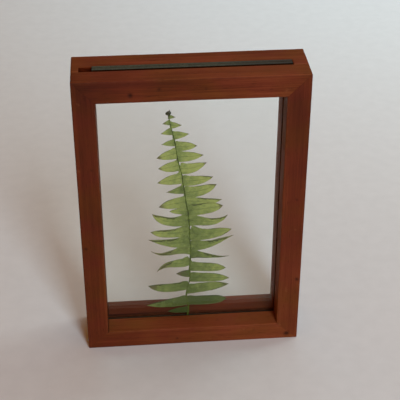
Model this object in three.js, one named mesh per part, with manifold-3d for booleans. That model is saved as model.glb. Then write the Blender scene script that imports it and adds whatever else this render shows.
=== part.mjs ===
// A free-standing frame that shows one pressed fern frond between two clear panes.
// Two mitred wooden frames are glued face to face. The back one has a rebate for the panes,
// open at the top as a slot that they slide in by and stand a little proud of.
// Millimetres. X runs across the frame, Y from its front to its back, Z up from its foot.

import * as THREE from 'three';
import { mergeVertices } from 'three/addons/utils/BufferGeometryUtils.js';
import Module from 'manifold-3d';

// Wooden frames
const frameWidth = 152;
const frameHeight = 214;
const frameDepth = 38;
const frontThickness = 15;
const topRailWidth = 15.6;
const bottomRailWidth = 14;
const leftStileWidth = 14.5;
const rightStileWidth = 15.3;

// Slot for the panes, cut into the front of the back frame
const slotWidth = 5.9;
const slotFromLeftSide = 5;
const slotFromRightSide = 10;
const grooveDepth = 2.5;

// Panes, which stand against the back wall and the right end of the slot
const paneWidth = 128;
const paneHeight = 203.4;
const paneThickness = 2.5;
const paneGap = 0.5;
const paneEndPlay = 0.5;

// Frond
const frondThickness = 0.3;
const frondStretch = [0.992, 0.99];
const frondShift = [-0.3, 3.1];
const leafletSteps = 6;
const stemSteps = 26;
const stemWidthFoot = 1.8;
const stemWidthTip = 0.6;
const leastTailWidth = 0.5;
const budRadius = 1.7;
const budSides = 9;

// Places that follow from the dimensions above
const half = frameWidth / 2;
const frontFace = -frameDepth / 2;
const glueFace = frontFace + frontThickness;
const backFace = frameDepth / 2;
const slotBack = glueFace + slotWidth;
const slotLeft = -half + slotFromLeftSide;
const slotRight = half - slotFromRightSide;
const grooveFloor = bottomRailWidth - grooveDepth;
const paneRight = slotRight - paneEndPlay;
const paneLeft = paneRight - paneWidth;
const backPaneFront = slotBack - paneThickness;
const frontPaneBack = backPaneFront - paneGap;
const frondMiddle = (frontPaneBack + backPaneFront) / 2;

// The line of the stem, from its foot to its tip: x, z, before the stretch and the shift
const stemLine = [
  [-3.1, 8.9], [-2, 18], [-3.6, 28], [-2.6, 36], [-0.8, 44], [-1.1, 52], [-0.5, 60],
  [-0.2, 70], [-0.9, 80], [-1.1, 90], [-1.8, 100], [-3.2, 110], [-4.1, 118], [-5.1, 125],
  [-6.2, 133], [-8, 141], [-9.3, 149], [-10.3, 157], [-12.1, 165.5], [-13.3, 172], [-14.4, 179],
];

// Leaflets: height on the stem, tip x and z, width, how far the middle line bows up at one third
// and at two thirds of its length, and how full the outline stays before it tapers
const leaflets = [
  [177, -9.7, 176.5, 3.5, 0, 0, 1.4],
  [170.5, -5.6, 170.4, 5.8, 0, 0, 1.5],
  [162.7, -0.7, 163.4, 6.4, 0, 0, 2],
  [154.3, 4.5, 154.2, 7.6, 0, 0, 3],
  [146.3, 8.9, 146.8, 8, -0.5, -0.5, 3],
  [137, 10.9, 140.8, 8.5, -2.7, -1.8, 3],
  [127.2, 15.4, 129.2, 7.8, -1.7, -1.7, 3.5],
  [117.8, 17.8, 123.1, 8.8, -2.6, -2.6, 4.5],
  [110.8, 21.6, 110.5, 6.6, -1.5, -2.5, 4],
  [102, 22.4, 105.5, 9.4, 0.3, -0.7, 6],
  [94, 25.9, 97.4, 6.5, -0.5, -8.5, 4],
  [83.8, 28.8, 85.3, 8.8, -4.5, -2.2, 5],
  [74.3, 30.3, 79.8, 8, -7, -2, 1.7],
  [65.4, 26.6, 61.7, 7.8, 1, -1.8, 1.7],
  [54.1, 25.2, 51.4, 8, 0, 0, 6],
  [44.4, 27.8, 42.1, 8.3, 0.3, 0.3, 5],
  [33.6, 27.5, 36.6, 8.7, -0.3, 0.5, 4],
  [23, 26, 23.3, 9, -0.5, -1, 8],
  [172.8, -18.5, 171.8, 4.5, 0, 0, 1.6],
  [166, -19.7, 164.3, 6, 0, 0, 1.6],
  [157.3, -19.4, 156.1, 5.8, 0, 0, 1.6],
  [149, -22.8, 145.6, 8.4, 0, 0, 2.5],
  [139.4, -21.9, 137.3, 8.4, -0.5, -0.5, 3],
  [129.3, -22.8, 126, 8.6, 0, 0, 2.7],
  [120, -16.8, 118.1, 7.4, -0.3, -0.3, 1.4],
  [109.3, -22.2, 106.2, 9, 1.2, 0.6, 3.5],
  [102, -14.8, 102.2, 5, 0, 0, 4],
  [95, -26.8, 100.6, 7.4, -4, -7, 6],
  [86, -28.4, 85.5, 6.8, -3, -3, 7],
  [77, -29.7, 78.9, 8, -4, -2.5, 2.5],
  [68.3, -28.4, 68.9, 7.4, -1, -6, 1.5],
  [59.8, -24.5, 50.9, 7.8, -2.5, 7, 1.8],
  [47.7, -10.9, 48, 6.4, 0, 0, 2.5],
  [37.3, -31.2, 38.3, 7.8, -2, -4, 6],
  [23.5, -33, 20.4, 8.8, -0.5, -1.5, 2.5],
  [15, -17.5, 13.9, 5.4, 0, 0, 3],
];

const wasm = await Module();
wasm.setup();

// An outline in the XZ plane made solid between two depths
function slab(points, fromY, toY) {
  const shape = new THREE.Shape(points.map(([x, z]) => new THREE.Vector2(x, z)));
  const geometry = new THREE.ExtrudeGeometry(shape, { depth: toY - fromY, bevelEnabled: false });
  return geometry.rotateX(Math.PI / 2).translate(0, toY, 0);
}

function box(low, high) {
  const [x, y, z] = high.map((value, i) => value - low[i]);
  return new THREE.BoxGeometry(x, y, z).translate(low[0] + x / 2, low[1] + y / 2, low[2] + z / 2);
}

function solidOf(geometry) {
  const bare = geometry.clone();
  bare.deleteAttribute('normal');
  bare.deleteAttribute('uv');
  const merged = mergeVertices(bare, 1e-5);
  return new wasm.Manifold(new wasm.Mesh({
    numProp: 3,
    vertProperties: new Float32Array(merged.attributes.position.array),
    triVerts: new Uint32Array(merged.index.array),
  }));
}

function geometryOf(solid) {
  const mesh = solid.getMesh();
  const geometry = new THREE.BufferGeometry();
  geometry.setAttribute('position', new THREE.BufferAttribute(mesh.vertProperties, 3));
  geometry.setIndex(new THREE.BufferAttribute(mesh.triVerts, 1));
  geometry.computeVertexNormals();
  return geometry;
}

// Front view of each stick, with its ends mitred from the outer corner to the inner one
const corners = [[-half, 0], [half, 0], [half, frameHeight], [-half, frameHeight]];
const windowLeft = -half + leftStileWidth;
const windowRight = half - rightStileWidth;
const windowTop = frameHeight - topRailWidth;
const window = [
  [windowLeft, bottomRailWidth], [windowRight, bottomRailWidth],
  [windowRight, windowTop], [windowLeft, windowTop],
];
const stickOutlines = {
  top_rail: [window[3], window[2], corners[2], corners[3]],
  bottom_rail: [corners[0], corners[1], window[1], window[0]],
  left_stile: [corners[0], window[0], window[3], corners[3]],
  right_stile: [corners[1], corners[2], window[2], window[1]],
};

// The space that the slot, its groove and its rebates take, past the top and the glued face
const slotSpace = solidOf(box(
  [slotLeft, glueFace - 1, grooveFloor],
  [slotRight, slotBack, frameHeight + 1],
));

function frontStick(outline) {
  return slab(outline, frontFace, glueFace);
}

function backStick(outline) {
  return geometryOf(solidOf(slab(outline, glueFace, backFace)).subtract(slotSpace));
}

function pane(frontY) {
  return box(
    [paneLeft, frontY, grooveFloor],
    [paneRight, frontY + paneThickness, grooveFloor + paneHeight],
  );
}

const stemCurve = new THREE.SplineCurve(stemLine.map(([x, z]) => new THREE.Vector2(x, z)));

// The point of the stem at a given height
function stemAt(height) {
  let low = 0;
  let high = 1;
  for (let i = 0; i < 30; i += 1) {
    const middle = (low + high) / 2;
    if (stemCurve.getPoint(middle).y < height) low = middle;
    else high = middle;
  }
  return stemCurve.getPoint(low);
}

// A ribbon's outline: up one side of a curve and down the other, with halfWidth(t) to each side
function ribbon(curve, steps, halfWidth) {
  const left = [];
  const right = [];
  for (let i = 0; i <= steps; i += 1) {
    const t = i / steps;
    const point = curve.getPoint(t);
    const across = curve.getTangent(t).rotateAround(new THREE.Vector2(), Math.PI / 2);
    const reach = halfWidth(t);
    left.push([point.x + across.x * reach, point.y + across.y * reach]);
    right.unshift([point.x - across.x * reach, point.y - across.y * reach]);
  }
  return [...right, ...left];
}

function leafletOutline([height, tipX, tipZ, width, bowNear, bowFar, fullness]) {
  const root = stemAt(height);
  const tip = new THREE.Vector2(tipX, tipZ);
  const near = root.clone().lerp(tip, 1 / 3);
  const far = root.clone().lerp(tip, 2 / 3);
  near.y += bowNear;
  far.y += bowFar;
  const line = new THREE.CubicBezierCurve(root, near, far, tip);
  const reach = (t) => Math.max(width * (1 - t ** fullness), leastTailWidth) / 2;
  return ribbon(line, leafletSteps, reach);
}

function budOutline() {
  const [x, z] = stemLine[stemLine.length - 1];
  return Array.from({ length: budSides }, (_, i) => {
    const angle = (i / budSides) * 2 * Math.PI;
    return [x + budRadius * Math.cos(angle), z + 1 + budRadius * Math.sin(angle)];
  });
}

function frond() {
  const stemReach = (t) => (stemWidthFoot + (stemWidthTip - stemWidthFoot) * t) / 2;
  const outlines = [
    ribbon(stemCurve, stemSteps, stemReach),
    budOutline(),
    ...leaflets.map(leafletOutline),
  ];
  const fromY = frondMiddle - frondThickness / 2;
  const solids = outlines.map((outline) => solidOf(slab(outline, fromY, fromY + frondThickness)));
  return geometryOf(solids.reduce((whole, solid) => whole.add(solid)))
    .scale(frondStretch[0], 1, frondStretch[1])
    .translate(frondShift[0], 0, frondShift[1]);
}

const part = new THREE.Group();

function place(name, geometry, material) {
  const mesh = new THREE.Mesh(geometry, material);
  mesh.name = name;
  part.add(mesh);
}

// Satin reddish-brown wood, a little lighter on the rails than on the stiles
const woodColours = {
  top_rail: 0x6a3620,
  bottom_rail: 0x64321f,
  left_stile: 0x55281a,
  right_stile: 0x5c2c1c,
};

function wood(side) {
  return new THREE.MeshStandardMaterial({ color: woodColours[side], roughness: 0.5, metalness: 0 });
}

for (const [side, outline] of Object.entries(stickOutlines)) {
  place(`front_${side}`, frontStick(outline), wood(side));
  place(`back_${side}`, backStick(outline), wood(side));
}

for (const [name, frontY] of [
  ['glass_front', frontPaneBack - paneThickness],
  ['glass_back', backPaneFront],
]) {
  place(name, pane(frontY), new THREE.MeshStandardMaterial({
    color: 0xe4efe8, roughness: 0.05, metalness: 0, transparent: true, opacity: 0.25,
  }));
}

place('fern_frond', frond(), new THREE.MeshStandardMaterial({
  color: 0x7d8c50, roughness: 0.75, metalness: 0,
}));

export default part;
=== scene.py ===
"""Looks for the pressed fern frame: mitred wooden frames, two clear panes and a fern frond between them."""

import math

import bpy
import numpy as np
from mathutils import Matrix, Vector, noise


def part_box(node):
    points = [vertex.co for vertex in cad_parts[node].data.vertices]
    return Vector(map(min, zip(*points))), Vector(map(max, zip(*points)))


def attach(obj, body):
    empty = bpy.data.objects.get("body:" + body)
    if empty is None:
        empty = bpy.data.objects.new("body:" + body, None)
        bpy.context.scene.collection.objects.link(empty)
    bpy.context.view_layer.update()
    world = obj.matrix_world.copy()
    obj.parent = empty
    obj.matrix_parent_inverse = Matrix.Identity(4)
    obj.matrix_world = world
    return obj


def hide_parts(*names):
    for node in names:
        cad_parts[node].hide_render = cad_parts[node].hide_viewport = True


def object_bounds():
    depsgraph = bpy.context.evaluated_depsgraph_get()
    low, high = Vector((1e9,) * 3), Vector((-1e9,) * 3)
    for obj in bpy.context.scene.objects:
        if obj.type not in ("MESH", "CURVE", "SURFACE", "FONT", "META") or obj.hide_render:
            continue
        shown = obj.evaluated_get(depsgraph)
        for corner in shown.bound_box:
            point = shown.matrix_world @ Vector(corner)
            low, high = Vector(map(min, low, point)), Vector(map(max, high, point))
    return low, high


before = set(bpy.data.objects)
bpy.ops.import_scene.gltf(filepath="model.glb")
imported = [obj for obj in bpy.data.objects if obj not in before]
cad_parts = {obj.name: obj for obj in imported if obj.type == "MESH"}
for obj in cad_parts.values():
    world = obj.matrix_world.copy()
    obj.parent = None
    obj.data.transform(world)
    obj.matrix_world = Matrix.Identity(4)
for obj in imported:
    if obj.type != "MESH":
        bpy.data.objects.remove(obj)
cad_low, cad_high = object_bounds()

MM = 0.001
SIDES = ("top_rail", "bottom_rail", "left_stile", "right_stile")

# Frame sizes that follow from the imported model
TOP_LOW, TOP_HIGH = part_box("front_top_rail")
LEFT_LOW, LEFT_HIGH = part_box("front_left_stile")
RIGHT_LOW, RIGHT_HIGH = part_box("front_right_stile")
PANE_LOW, PANE_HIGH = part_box("glass_back")
WIDTH = cad_high.x - cad_low.x
HEIGHT = TOP_HIGH.z
GLUE_Y = TOP_HIGH.y
TOP_RAIL = TOP_HIGH.z - TOP_LOW.z
BOTTOM_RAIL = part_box("front_bottom_rail")[1].z
LEFT_STILE = LEFT_HIGH.x - LEFT_LOW.x
RIGHT_STILE = RIGHT_HIGH.x - RIGHT_LOW.x
FROND_Y = (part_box("glass_front")[1].y + PANE_LOW.y) / 2

# Where the slot in the back frame starts and ends
SLOT_FROM_LEFT = 5 * MM
SLOT_END_PLAY = 0.5 * MM
SLOT_LEFT = -WIDTH / 2 + SLOT_FROM_LEFT
SLOT_RIGHT = PANE_HIGH.x + SLOT_END_PLAY

# Radii of the sticks' arrises, and of the frame's four outer corners
ARRIS = 0.75 * MM
INNER_ARRIS = 0.7 * MM
REAR_ARRIS = 0.9 * MM
SLOT_ARRIS = 0.6 * MM
SILL_ARRIS = 1.6 * MM
FRONT_SILL_ARRIS = 0.35 * MM
GLUE_ARRIS = 0.12 * MM
CORNER_RADIUS = 1.0 * MM

# How the slot's back wall is eased in each side: the height of its eased edge, and the radius
SLOT_EASE = {
    "top_rail": (HEIGHT, SLOT_ARRIS), "bottom_rail": (BOTTOM_RAIL, SILL_ARRIS),
    "left_stile": (HEIGHT, 0.05 * MM), "right_stile": (HEIGHT, 0.05 * MM),
}

# The sticks' small irregularities and the spacing of their mesh
JOINT_DEPTH = 0.04 * MM
WAVE = 0.12 * MM
WAVE_LENGTH = 45 * MM
WAVE_SEED = 2
FRONT_PITCH = 1.0 * MM
BACK_PITCH = 1.6 * MM

# How far the first rings of a stick's mesh lie from its mitre, in millimetres
NEAR_MITRE = [0, 0.15, 0.4, 0.8, 1.3, 1.9, 2.7]

ARC_STEPS = 4
QUARTER_TURN = [k / ARC_STEPS * math.pi / 2 for k in range(ARC_STEPS + 1)]
FORWARD = np.array((0.0, 1.0, 0.0))
NOISE_SHIFT = (3.7, 1.9, 5.3)

# Play in telling whether two faces lie at the same place
TOUCH = 0.01 * MM


# -------------------- mesh helpers

def mesh_object(name, vertices, faces, smooth=True):
    mesh = bpy.data.meshes.new(name)
    mesh.from_pydata([tuple(v) for v in vertices], [], faces)
    mesh.validate()
    mesh.update()
    obj = bpy.data.objects.new(name, mesh)
    bpy.context.scene.collection.objects.link(obj)
    for polygon in mesh.polygons:
        polygon.use_smooth = smooth
    return obj


def point_attribute(obj, name, values):
    layer = obj.data.attributes.new(name, "FLOAT", "POINT")
    layer.data.foreach_set("value", np.asarray(values, np.float32))


def coordinates(obj):
    co = np.zeros(len(obj.data.vertices) * 3)
    obj.data.vertices.foreach_get("co", co)
    return co.reshape(-1, 3)


def smooth_noise(points, scale, seed):
    """Perlin noise between about -1 and 1, with features about as wide as the scale."""
    shift = Vector([seed * step for step in NOISE_SHIFT])
    return np.array([noise.noise(Vector(p) / scale + shift) for p in points])


def fade(distance, reach):
    """1 at no distance, falling off smoothly to nothing at about twice the reach."""
    return np.exp(-((distance / reach) ** 2))


def unit(vectors):
    """The vectors scaled to a length of 1."""
    return vectors / np.linalg.norm(vectors, axis=-1, keepdims=True)


def flipped(faces):
    return [tuple(reversed(face)) for face in faces]


def tube_faces(rings, around):
    """Faces of a closed tube: quads between rings of so many points, and a cap at each end."""
    faces = []
    for ring in range(rings - 1):
        for k in range(around):
            a, b = ring * around + k, ring * around + (k + 1) % around
            faces.append((a, b, b + around, a + around))
    faces.append(tuple(reversed(range(around))))
    faces.append(tuple(range((rings - 1) * around, rings * around)))
    return faces


# -------------------- wooden sticks

class Stick:
    """Where one side of the frame runs: from an outer corner along it, and inwards across its width."""

    LAYOUT = {
        "top_rail": ((-1, 1), (1, 0, 0), (0, 0, -1), TOP_RAIL, LEFT_STILE, RIGHT_STILE),
        "bottom_rail": ((-1, 0), (1, 0, 0), (0, 0, 1), BOTTOM_RAIL, LEFT_STILE, RIGHT_STILE),
        "left_stile": ((-1, 0), (0, 0, 1), (1, 0, 0), LEFT_STILE, BOTTOM_RAIL, TOP_RAIL),
        "right_stile": ((1, 0), (0, 0, 1), (-1, 0, 0), RIGHT_STILE, BOTTOM_RAIL, TOP_RAIL),
    }

    def __init__(self, side):
        corner, direction, inward, self.width, at_start, at_end = self.LAYOUT[side]
        self.corner = np.array((corner[0] * WIDTH / 2, 0.0, corner[1] * HEIGHT))
        self.direction = np.array(direction, float)
        self.inward = np.array(inward, float)
        self.length = HEIGHT if "stile" in side else WIDTH
        self.start_slant = at_start / self.width
        self.end_slant = at_end / self.width

    def along(self, across, t):
        start = across * self.start_slant
        return start + (self.length - across * self.end_slant - start) * t

    def place(self, along, across, depth):
        flat = self.corner + along[:, None] * self.direction + across[:, None] * self.inward
        return flat + depth[:, None] * FORWARD

    def to_mitre(self, across, along):
        from_start = along - across * self.start_slant
        from_end = self.length - across * self.end_slant - along
        return np.minimum(from_start, from_end) / math.sqrt(2)


def rounded_section(width, depth_low, depth_high, radii, pitch):
    """Points (across, depth) and outward normals round a stick's section, from its outer front arris."""
    corners = [(0, depth_low), (width, depth_low), (width, depth_high), (0, depth_high)]
    points, normals = [], []
    for i, (corner, radius) in enumerate(zip(corners, radii)):
        here, after = np.array(corner), np.array(corners[(i + 1) % 4])
        back, ahead = unit(np.array(corners[i - 1]) - here), unit(after - here)
        centre = here + radius * (back + ahead)
        for angle in QUARTER_TURN:
            normal = -ahead * math.cos(angle) - back * math.sin(angle)
            points.append(centre + radius * normal)
            normals.append(normal)
        start = points[-1]
        end = after - radii[(i + 1) % 4] * ahead
        steps = max(2, round(np.linalg.norm(end - start) / pitch))
        for k in range(1, steps):
            points.append(start + (end - start) * k / steps)
            normals.append(-back)
    return np.array(points), np.array(normals)


def stations(length, pitch):
    """Fractions along a stick, close together near both mitres."""
    near = [d * MM / length for d in NEAR_MITRE]
    steps = round((length - 2 * NEAR_MITRE[-1] * MM) / pitch)
    middle = [near[-1] + (1 - 2 * near[-1]) * i / steps for i in range(1, steps)]
    return np.array(near + middle + [1 - t for t in reversed(near)])


def ease_corners(along, across, length):
    """Rounds the frame's outline where a stick's outer face meets the next stick's."""
    for mirrored in (False, True):
        end = length - along if mirrored else along
        dx, dz = CORNER_RADIUS - end, CORNER_RADIUS - across
        reach = np.hypot(dx, dz)
        outside = (dx > 0) & (dz > 0) & (reach > CORNER_RADIUS)
        scale = CORNER_RADIUS / np.maximum(reach, CORNER_RADIUS)
        end = np.where(outside, CORNER_RADIUS - dx * scale, end)
        across = np.where(outside, CORNER_RADIUS - dz * scale, across)
        along = length - end if mirrored else end
    return along, across


def stick_mesh(name, stick, depths, radii, pitch):
    """A mitred stick with eased arrises, a little wavy, its surface sunk a hair at both mitres."""
    section, normals = rounded_section(stick.width, *depths, radii, pitch)
    fractions = stations(stick.length, pitch)
    rings, around = len(fractions), len(section)
    t = np.repeat(fractions, around)
    across, depth = np.tile(section, (rings, 1)).T
    normal = np.tile(normals, (rings, 1))
    along = stick.along(across, t)
    sunk = JOINT_DEPTH * ((t == 0) | (t == 1))
    along, across = ease_corners(along, across - normal[:, 0] * sunk, stick.length)
    points = stick.place(along, across, depth - normal[:, 1] * sunk)
    outward = normal[:, :1] * stick.inward + normal[:, 1:] * FORWARD
    points += outward * (WAVE * smooth_noise(points, WAVE_LENGTH, WAVE_SEED))[:, None]
    faces = tube_faces(rings, around)
    if np.dot(np.cross(stick.direction, stick.inward), FORWARD) > 0:
        faces = flipped(faces)
    return mesh_object(name, points, faces)


# How far the cutter of the slot runs past the wood
CUT_PAST = 2 * MM


def slot_cutter(eased_z, ease):
    """The space of the slot, open to the front and the top, its back wall eased away at one height."""
    front, back, top = GLUE_Y - CUT_PAST, PANE_HIGH.y, HEIGHT + CUT_PAST
    section = [(front, PANE_LOW.z), (back, PANE_LOW.z)]
    for angle in QUARTER_TURN:
        section.append((back + ease * (1 - math.cos(angle)), eased_z - ease * (1 - math.sin(angle))))
    section += [(back + ease, top), (front, top)]
    points = [(x, y, z) for x in (SLOT_LEFT, SLOT_RIGHT) for y, z in section]
    return mesh_object("slot_cutter", points, tube_faces(2, len(section)), smooth=False)


def cut_slot(obj, side):
    cutter = slot_cutter(*SLOT_EASE[side])
    cut = obj.modifiers.new("slot", "BOOLEAN")
    cut.object = cutter
    cut.operation = "DIFFERENCE"
    cut.solver = "EXACT"
    graph = bpy.context.evaluated_depsgraph_get()
    cut_mesh = bpy.data.meshes.new_from_object(obj.evaluated_get(graph))
    obj.modifiers.clear()
    obj.data = cut_mesh
    bpy.data.objects.remove(cutter)


# How far behind the panes a face may lie and still be one of the slot's bare walls
WALL_MARGIN = 0.4 * MM


def finish_stick(obj, node, slot_wood):
    """Gives the stick its finish, and the walls of the slot a darker, unpolished one, with painted shade at
    the slot's open end.
    """
    obj.data.materials.clear()
    obj.data.materials.append(wood_material(node))
    if node.startswith("front"):
        return
    obj.data.materials.append(slot_wood)
    for polygon in obj.data.polygons:
        x, y, z = polygon.center
        in_length = SLOT_LEFT - TOUCH <= x <= SLOT_RIGHT + TOUCH
        in_depth = GLUE_Y + TOUCH < y < PANE_HIGH.y + WALL_MARGIN
        polygon.material_index = int(in_length and in_depth and z > PANE_LOW.z - TOUCH)


# Small dents in the front: x and z, radius and depth, in millimetres
DENTS = [
    (-39.1, 203.7, 1.3, 0.5), (-20.9, 207.3, 1.1, 0.25), (73.6, 53.3, 1.2, 0.4), (68.2, 4.2, 1.6, 0.6),
    (8.5, 206.5, 0.8, 0.2), (-66.0, 150.2, 0.9, 0.2), (70.1, 120.4, 0.8, 0.25), (-12.0, 5.1, 1.0, 0.25),
    (-73.4, 88.0, 1.0, 0.35), (44.0, 9.5, 0.8, 0.2),
]

# Pale scuffs on the front: x, z and radius, in millimetres
SCUFFS = [
    (62.8, 12.6, 0.9), (64.4, 13.6, 0.9), (61.2, 11.4, 0.8), (66.4, 43.5, 0.8), (66.4, 45.5, 0.8),
    (34.0, 9.6, 1.1), (36.5, 10.2, 0.9), (59.5, 203.0, 0.8), (61.0, 204.4, 0.8), (-71.5, 198.4, 0.9),
    (12.0, 2.2, 0.8), (-16.0, 1.5, 0.9), (-74.2, 150.0, 0.7), (70.6, 96.0, 0.7),
]

# How far behind the front face the marks reach, and how much painted shade a dent gets per millimetre of
# depth
MARK_REACH = 2 * MM
DENT_SHADE = 3


def add_dents(obj, face_y):
    """Presses the dents in, and stores the painted shade in each dent, darker the deeper it is, and how near
    each vertex is to a pale scuff.
    """
    co = coordinates(obj)
    on_face = co[:, 1] < face_y + MARK_REACH

    def near(x, z, radius):
        return fade(np.hypot(co[:, 0] - x * MM, co[:, 2] - z * MM), radius * MM) * on_face

    pressed = sum(near(x, z, radius) * depth for x, z, radius, depth in DENTS)
    # Painted shade in the dents, darker where they are deeper
    point_attribute(obj, "dent_shade", np.clip(pressed * DENT_SHADE, 0, 1))
    point_attribute(obj, "scuff", np.clip(sum(near(*scuff) for scuff in SCUFFS), 0, 1))
    co[:, 1] += pressed * MM
    obj.data.vertices.foreach_set("co", co.ravel())
    obj.data.update()


# How wide the marks along a stick's edges are
ARRIS_WEAR = 1.1 * MM
MITRE_LINE = 0.22 * MM
GLUE_LINE = 0.3 * MM
CORNER_SHADE = 0.7 * MM
FACE_SKIN = 0.25 * MM


def mark_edges(obj, stick, depth_low, depth_high):
    """Stores how near each vertex is to a worn arris, a mitre and the glue, how much painted shade the
    sill's inner corner gets, and which vertices are on an upper face or on a stile's inner face, which get
    painted light."""
    co = coordinates(obj)
    across = (co - stick.corner) @ stick.inward
    along = (co - stick.corner) @ stick.direction
    to_side = np.maximum(np.minimum(across, stick.width - across), 0)
    exposed_y = depth_low if depth_low < GLUE_Y - TOUCH else depth_high
    point_attribute(obj, "arris", fade(np.hypot(to_side, co[:, 1] - exposed_y), ARRIS_WEAR))
    point_attribute(obj, "joint", fade(stick.to_mitre(across, along), MITRE_LINE))
    point_attribute(obj, "glue", fade(co[:, 1] - GLUE_Y, GLUE_LINE))
    is_bottom = stick.inward[2] > 0
    upper_z = BOTTOM_RAIL if is_bottom else HEIGHT
    # Upper faces, made lighter by painted light
    upper = (co[:, 2] > upper_z - FACE_SKIN) * abs(stick.inward[2])
    point_attribute(obj, "upper", upper)
    # The stiles' inner faces, made lighter by painted light
    point_attribute(obj, "reveal", (across > stick.width - FACE_SKIN) * abs(stick.inward[0]))
    from_corner = co[:, 0] - (LEFT_STILE - WIDTH / 2)
    # Painted shade in the inner corner where the sill meets the left stile
    point_attribute(obj, "corner_shade", fade(from_corner, CORNER_SHADE) * upper * is_bottom)


def front_stick(name, stick, side, depths):
    slot_edge = FRONT_SILL_ARRIS if side == "bottom_rail" else GLUE_ARRIS
    outer_slot_edge = SLOT_ARRIS if side == "top_rail" else GLUE_ARRIS
    radii = (ARRIS, INNER_ARRIS, slot_edge, outer_slot_edge)
    obj = stick_mesh(name, stick, depths, radii, FRONT_PITCH)
    add_dents(obj, depths[0])
    return obj


def back_stick(name, stick, side, depths):
    inner_rear = REAR_ARRIS if side == "bottom_rail" else INNER_ARRIS
    radii = (GLUE_ARRIS, GLUE_ARRIS, inner_rear, ARRIS)
    obj = stick_mesh(name, stick, depths, radii, BACK_PITCH)
    cut_slot(obj, side)
    return obj


def build_sticks():
    slot_wood = slot_wood_material()
    for side in SIDES:
        stick = Stick(side)
        for layer, build in (("front", front_stick), ("back", back_stick)):
            node = f"{layer}_{side}"
            low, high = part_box(node)
            obj = build(f"wood_{node}", stick, side, (low.y, high.y))
            mark_edges(obj, stick, low.y, high.y)
            finish_stick(obj, node, slot_wood)
            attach(obj, "root")
            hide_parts(node)


# -------------------- node helpers

# The range that most values of a noise lie in
NOISE_LOW, NOISE_HIGH = 0.3, 0.7


class Nodes:
    """Adds shader nodes to a node tree and links them by short calls."""

    def __init__(self, tree):
        self.tree = tree

    def add(self, kind, inputs=None, **settings):
        node = self.tree.nodes.new(kind)
        for key, value in settings.items():
            setattr(node, key, value)
        for key, value in (inputs or {}).items():
            self.feed(node.inputs[key], value)
        return node

    def feed(self, socket, value):
        if isinstance(value, bpy.types.NodeSocket):
            self.tree.links.new(value, socket)
        else:
            socket.default_value = value

    def maths(self, operation, a, b=0.0, clamp=False):
        return self.add("ShaderNodeMath", {0: a, 1: b}, operation=operation, use_clamp=clamp).outputs[0]

    def ramp(self, value, low, high, to_low=0.0, to_high=1.0):
        inputs = {"Value": value, "From Min": low, "From Max": high, "To Min": to_low, "To Max": to_high}
        return self.add("ShaderNodeMapRange", inputs).outputs["Result"]

    def spread(self, noise_value, to_low=0.0, to_high=1.0):
        """A noise's usual range, stretched over another."""
        return self.ramp(noise_value, NOISE_LOW, NOISE_HIGH, to_low, to_high)

    def mix(self, factor, a, b, blend="MIX"):
        node = self.add("ShaderNodeMix", data_type="RGBA", blend_type=blend)
        self.feed(node.inputs[0], factor)
        self.feed(node.inputs[6], a)
        self.feed(node.inputs[7], b)
        return node.outputs[2]

    def stain(self, colour, mask, strength, stain):
        """The colour, stained as strongly as said where the mask is 1."""
        return self.mix(self.maths("MULTIPLY", mask, strength), colour, stain)

    def mix_shaders(self, factor, a, b):
        return self.add("ShaderNodeMixShader", {0: factor, 1: a, 2: b}).outputs[0]

    def position(self):
        return self.add("ShaderNodeTexCoord").outputs["Object"]

    def coordinate(self, axis):
        return self.add("ShaderNodeSeparateXYZ", {0: self.position()}).outputs[axis]

    def noise(self, waves, detail, shift=(0, 0, 0), rough=0.5, distortion=0.0):
        """Noise with so many features a metre along X, Y and Z."""
        place = self.add("ShaderNodeMapping", {"Vector": self.position(), "Scale": waves, "Location": shift})
        inputs = {"Vector": place.outputs[0], "Scale": 1, "Detail": detail, "Roughness": rough}
        inputs["Distortion"] = distortion
        return self.add("ShaderNodeTexNoise", inputs).outputs["Fac"]

    def attribute(self, name):
        return self.add("ShaderNodeAttribute", attribute_name=name).outputs["Fac"]

    def bump(self, height, distance, strength):
        inputs = {"Height": height, "Distance": distance, "Strength": strength}
        return self.add("ShaderNodeBump", inputs).outputs[0]

    def bounced(self):
        """0 for light that is seen straight on or through glass, 1 for light that bounced before."""
        path = self.add("ShaderNodeLightPath").outputs
        return self.maths("ADD", path["Diffuse Depth"], path["Glossy Depth"], clamp=True)


class Material(Nodes):
    """A new material's nodes."""

    def __init__(self, name):
        self.material = bpy.data.materials.new(name)
        self.material.use_nodes = True
        super().__init__(self.material.node_tree)
        self.shader = self.tree.nodes["Principled BSDF"]
        self.output = self.tree.nodes["Material Output"]

    def surface(self, inputs):
        for name, value in inputs.items():
            self.feed(self.shader.inputs[name], value)


def linear(red, green, blue):
    """A screen colour in 0 to 255 as the linear colour that the shader takes."""
    def channel(value):
        value /= 255
        return value / 12.92 if value <= 0.04045 else ((value + 0.055) / 1.055) ** 2.4
    return (channel(red), channel(green), channel(blue), 1.0)


# -------------------- wood

WOOD_DARK = linear(65, 26, 13)
WOOD_MID = linear(99, 43, 20)
WOOD_LIGHT = linear(134, 68, 35)
# The pores' colour, also used for the painted shade in the sill's inner corner and in the dents
PORE_AND_SHADE_BROWN = linear(34, 13, 7)
WOOD_BARE = linear(150, 92, 56)
# Painted shade at the slot's open end
OPEN_END_SHADE_DARK = linear(66, 23, 9)
OPEN_END_SHADE_LIGHT = linear(98, 36, 14)
UNDER_PANES_DARK = linear(62, 30, 18)
UNDER_PANES_LIGHT = linear(92, 48, 30)
OLIVE_CAST = (0.95, 1.12, 0.85, 1)
ROSE_CAST = (1.03, 0.94, 1.15, 1)
WOOD_SPECULAR = 0.07
WOOD_RELIEF = 0.05 * MM
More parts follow.
